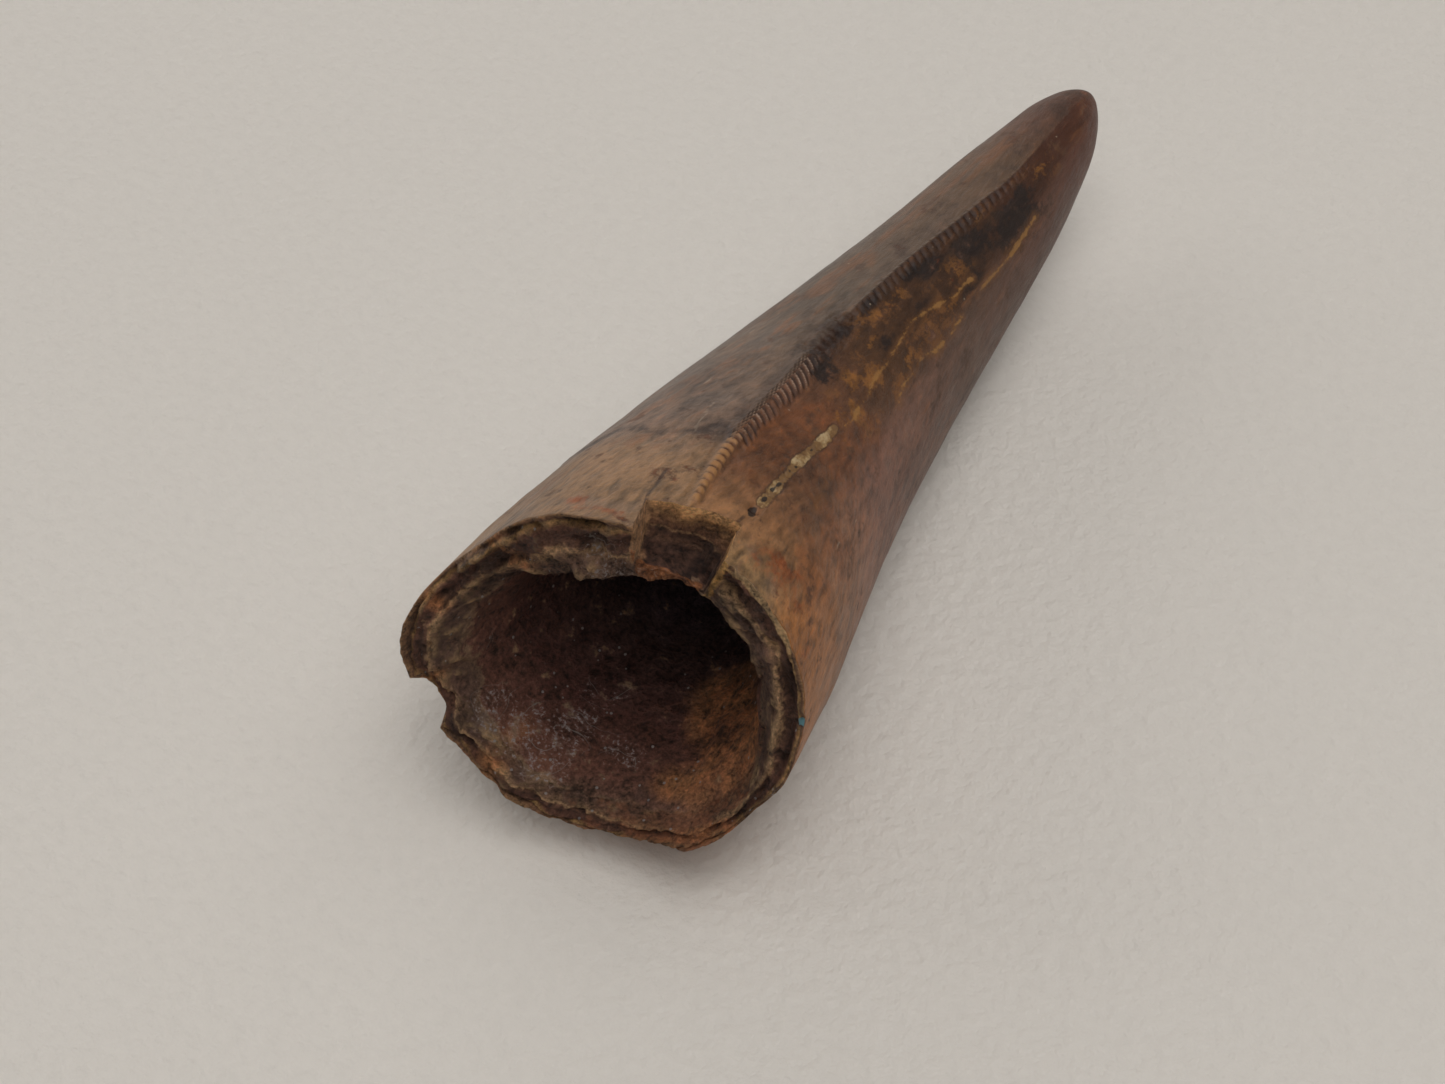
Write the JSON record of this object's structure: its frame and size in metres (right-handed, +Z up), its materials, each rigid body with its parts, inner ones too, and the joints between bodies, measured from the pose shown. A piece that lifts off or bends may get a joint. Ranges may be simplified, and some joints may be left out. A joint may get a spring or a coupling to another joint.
{
  "type": "fossil tyrannosaurus tooth",
  "caption": "Curved fossil tooth crown lying on its convex side, with serrated edges, a broken notched rim and an open pulp cavity.",
  "frame": {"origin": "under the middle of the tooth, on the surface it rests on", "axes": "+Y along the crown from the broken base to the point, +Z up, serrated edge on top"},
  "size_m": [0.02, 0.0568, 0.0199],
  "materials": {
    "fossil_tooth": "satin brown fossil enamel over matt dentine"
  },
  "bodies": {
    "root": {"tooth": "fossil_tooth"}
  },
  "joints": []
}
